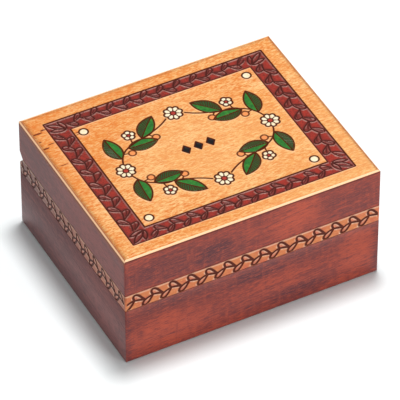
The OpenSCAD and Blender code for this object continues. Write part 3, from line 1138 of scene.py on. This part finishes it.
def wall_material(name, axis, seed, stain, gloss, band=None, lid=False, spots=NO_SPOTS):
    """A wall that is stained outside and plain inside. band is the tones of a base wall's band."""
    finish = Finish(name)
    stained, streak, pores = stained_colour(finish, axis, stain, seed, *spots)
    plain, _, _ = plain_colour(finish, axis, seed + 20)
    from_side = abs(finish.x) - (BOX_W / 2 - SIDE_STAIN_REACH)
    from_back = abs(finish.y) - (BOX_D / 2 - BACK_STAIN_REACH)
    outside = from_side.max(from_back).ramp(-0.15, 0.1)
    colour = finish.mix(plain, stained, outside)
    coat = gloss
    if band:
        colour, matt = add_band(finish, colour, outside, axis, band, seed + 40)
        coat = matt * -gloss + gloss
    if lid:
        colour, matt = add_lid_edges(finish, colour, outside, axis, seed + 40)
        coat = matt * -gloss + gloss
    finish.colour(colour)
    finish.roughness(streak * 0.12 + 0.38 + pores * 0.05)
    finish.bump(streak * 0.6 + pores * 0.4, 0.03)
    finish.lacquer(coat, 0.22)
    return finish.material


def plain_material(name, axis, seed):
    """The material of a board inside the box."""
    finish = Finish(name)
    colour, streak, pores = plain_colour(finish, axis, seed)
    finish.colour(colour)
    finish.roughness(streak * 0.12 + 0.48)
    finish.bump(streak * 0.6 + pores * 0.4, 0.04)
    finish.lacquer(0.15, 0.35)
    return finish.material


def brass_material():
    finish = Finish("hinge_brass")
    wear = finish.noise(finish.x * 0.8, finish.y * 2.5, finish.z * 2.5, 4, 0.6)
    finish.colour(finish.mix(BRASS, srgb(150, 108, 44), wear.ramp(0.45, 0.75) * 0.6))
    finish.shader.inputs["Metallic"].default_value = 1.0
    finish.roughness(wear * 0.25 + 0.2)
    finish.bump(wear, 0.01)
    return finish.material


def set_material(obj, material):
    obj.data.materials.clear()
    obj.data.materials.append(material)


def dress():
    """Makes the carved pieces, and gives every piece its material."""
    top = make_lid_panel()
    set_material(top, top_material())
    for seed, (side, piece) in enumerate(make_band_walls().items()):
        if side == "front":
            look = "x", 3.1 * seed, STAIN, BASE_GLOSS, BAND
        else:
            look = "y", 3.1 * seed, BASE_SIDE_STAIN_AND_SHEEN, BASE_SIDE_GLOSS, BAND_SIDE_AND_SHEEN
        spots = BASE_SPOTS.get(side, NO_SPOTS)
        set_material(piece, wall_material(piece.name + "_wood", *look, spots=spots))
    back = wall_material("base_back_wood", "x", 17.0, STAIN, BASE_BACK_GLOSS)
    set_material(nodes["base_back_wall"], back)
    for k, side in enumerate(("front", "back", "left", "right")):
        if side in ("front", "back"):
            look = "x", 31 + 2.3 * k, STAIN, LID_GLOSS
        else:
            look = "y", 31 + 2.3 * k, LID_SIDE_STAIN_AND_SHEEN, LID_SIDE_GLOSS
        spots = LID_SPOTS.get(side, NO_SPOTS)
        material = wall_material(f"lid_{side}_wood", *look, lid=True, spots=spots)
        set_material(nodes[f"lid_{side}_wall"], material)
    set_material(nodes["bottom_panel"], plain_material("bottom_wood", "x", 50))
    set_material(nodes["long_divider"], plain_material("long_divider_wood", "x", 53))
    for seed, side in enumerate(("left", "right")):
        material = plain_material(f"{side}_divider_wood", "y", 57 + seed * 3)
        set_material(nodes[f"{side}_cross_divider"], material)
    brass = brass_material()
    for name, node in nodes.items():
        if "hinge" in name:
            set_material(node, brass)


# Camera, floor and light

CAMERA_AT = Vector((-1.0254, -1.9523, 2.0670))
CAMERA_AZIMUTH, CAMERA_ELEVATION = math.radians(-27.735), math.radians(42.557)
SENSOR = 36
FOCAL_SHARE = 11.17


def make_camera():
    """The camera at the photo's angle."""
    data = bpy.data.cameras.new("camera")
    data.sensor_width = SENSOR
    data.lens = FOCAL_SHARE * SENSOR
    data.clip_start, data.clip_end = 0.05, 20
    camera = bpy.data.objects.new("camera", data)
    back = Vector((math.sin(CAMERA_AZIMUTH) * math.cos(CAMERA_ELEVATION),
                   -math.cos(CAMERA_AZIMUTH) * math.cos(CAMERA_ELEVATION),
                   math.sin(CAMERA_ELEVATION)))
    camera.location = CAMERA_AT
    camera.rotation_mode = "QUATERNION"
    camera.rotation_quaternion = (-back).to_track_quat("-Z", "Y")
    bpy.context.scene.collection.objects.link(camera)
    bpy.context.scene.camera = camera


def make_floor():
    """A plain pale floor, well past the picture's edges."""
    mesh = bpy.data.meshes.new("floor")
    reach = 6
    mesh.from_pydata([(-reach, -reach, 0), (reach, -reach, 0), (reach, reach, 0),
                      (-reach, reach, 0)], [], [(0, 1, 2, 3)])
    floor = bpy.data.objects.new("floor", mesh)
    bpy.context.scene.collection.objects.link(floor)
    finish = Finish("floor")
    finish.shader.inputs["Base Color"].default_value = (0.89, 0.925, 0.93, 1)
    finish.shader.inputs["Roughness"].default_value = 0.9
    finish.shader.inputs["Specular IOR Level"].default_value = 0.1
    set_material(floor, finish.material)


def area_light(name, at, size, power):
    """A white round light at a place, that shines on the box's foot."""
    data = bpy.data.lights.new(name, "AREA")
    data.shape = "DISK"
    data.size = size
    data.energy = power
    light = bpy.data.objects.new(name, data)
    light.location = at
    light.rotation_mode = "QUATERNION"
    light.rotation_quaternion = (Vector((0, 0, 0.04)) - Vector(at)).to_track_quat("-Z", "Y")
    light.visible_camera = False
    bpy.context.scene.collection.objects.link(light)


def make_lights():
    world = bpy.data.worlds.new("studio")
    world.use_nodes = True
    world.node_tree.nodes["Background"].inputs["Color"].default_value = (1, 1, 1, 1)
    world.node_tree.nodes["Background"].inputs["Strength"].default_value = 0.42
    bpy.context.scene.world = world
    area_light("overhead", (0.12, 0.12, 1.5), 0.34, 18.6)
    area_light("fill", (0.55, -1.4, 0.22), 0.6, 12)
    bpy.context.scene.view_settings.view_transform = "Standard"


dress()
make_camera()
make_floor()
make_lights()
